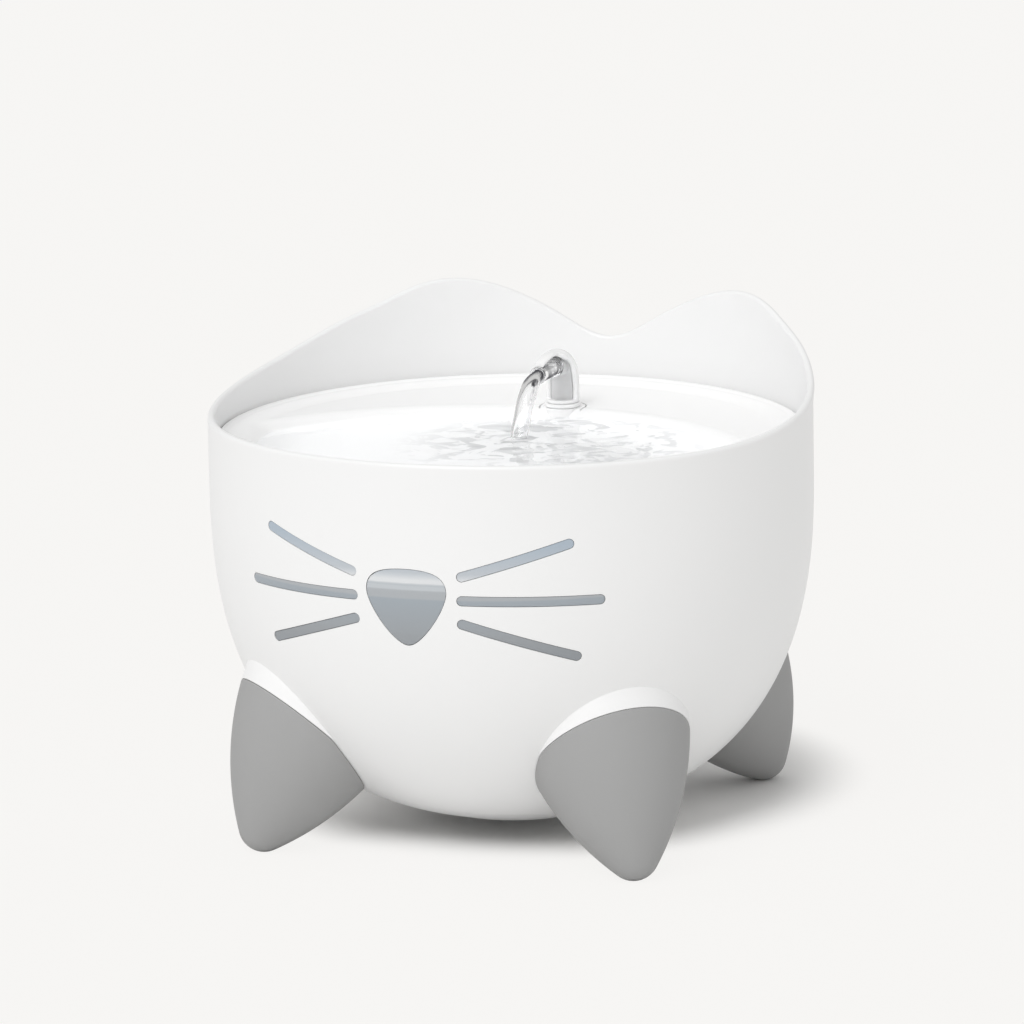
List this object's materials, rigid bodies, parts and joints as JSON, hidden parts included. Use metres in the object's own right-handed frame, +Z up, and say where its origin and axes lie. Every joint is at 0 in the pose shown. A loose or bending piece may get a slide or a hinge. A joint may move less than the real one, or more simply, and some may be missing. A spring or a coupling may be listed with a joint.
{
  "type": "pet water fountain",
  "caption": "Round cat-face drinking fountain on sturdy feet, with an eared rim, a lift-out tray and pool, a small pull-out spout, a filter cartridge and a submerged pump.",
  "frame": {"origin": "on the ground below the middle of the bowl", "axes": "+Z up, the cat's face looks along -Y, +X to the right seen from the front"},
  "size_m": [0.2362, 0.2371, 0.1948],
  "materials": {
    "bowl_plastic": "satin",
    "tray_plastic": "semi-gloss",
    "spout_plastic": "semi-gloss",
    "boot_rubber": "matte",
    "seal_rubber": "matte",
    "window_plastic": "clear, lightly smoked",
    "clear_plastic": "clear",
    "insert_plastic": "semi-gloss",
    "tubing": "translucent silicone",
    "frame_plastic": "satin",
    "pad_fibre": "felted",
    "carbon_media": "granular",
    "pump_plastic": "satin",
    "dial_plastic": "satin",
    "impeller_plastic": "satin",
    "magnet_ferrite": "matte ferrite",
    "shaft_steel": "ground",
    "foam": "open-cell foam"
  },
  "bodies": {
    "base": {"bowl": "bowl_plastic", "level_window": "window_plastic", "window_seal": "seal_rubber", "cable_grommet": "seal_rubber", "foot_boot_front_left": "boot_rubber", "foot_boot_front_right": "boot_rubber", "foot_boot_rear_left": "boot_rubber", "foot_boot_rear_right": "boot_rubber", "pump_body": "pump_plastic", "pump_end_cap": "pump_plastic", "rotor_shaft": "shaft_steel", "shaft_bush_rear": "tubing", "suction_cups": "tubing", "riser_tube": "tubing"},
    "tray_body": {"tray": "tray_plastic"},
    "spout_base": {"spout_stem": "spout_plastic", "stem_o_ring": "seal_rubber"},
    "spout_head": {"spout_shell": "spout_plastic", "spout_insert": "insert_plastic", "spout_nozzle": "clear_plastic"},
    "filter": {"filter_frame": "frame_plastic", "filter_pad": "pad_fibre", "filter_media": "carbon_media", "filter_base": "frame_plastic"},
    "pump_front": {"pump_cover": "pump_plastic", "shaft_bush_front": "tubing", "foam_prefilter": "foam"},
    "rotor": {"impeller": "impeller_plastic", "rotor_magnet": "magnet_ferrite"},
    "dial": {"flow_dial": "dial_plastic"}
  },
  "joints": [
    {"name": "tray_lift", "type": "slide", "parent": "base", "child": "tray_body", "axis": [0, 0, 1], "range_m": [0, 0.12]},
    {"name": "spout_pull", "type": "slide", "parent": "tray_body", "child": "spout_base", "axis": [0, 0, 1], "range_m": [0, 0.04]},
    {"name": "spout_swivel", "type": "hinge", "parent": "spout_base", "child": "spout_head", "pos_m": [0, 0.0604, 0.16], "axis": [0, 0, 1], "range_deg": [-90, 90]},
    {"name": "filter_lift", "type": "slide", "parent": "tray_body", "child": "filter", "axis": [0, 0, 1], "range_m": [0, 0.06]},
    {"name": "pump_cover_pull", "type": "slide", "parent": "base", "child": "pump_front", "axis": [0, 1, 0], "range_m": [0, 0.008]},
    {"name": "impeller_spin", "type": "hinge", "parent": "base", "child": "rotor", "pos_m": [0, 0.016, 0.0305], "axis": [0, 1, 0], "continuous": true},
    {"name": "flow_dial_turn", "type": "hinge", "parent": "pump_front", "child": "dial", "pos_m": [0, 0.031, 0.0305], "axis": [0, 1, 0], "range_deg": [0, 36]}
  ]
}
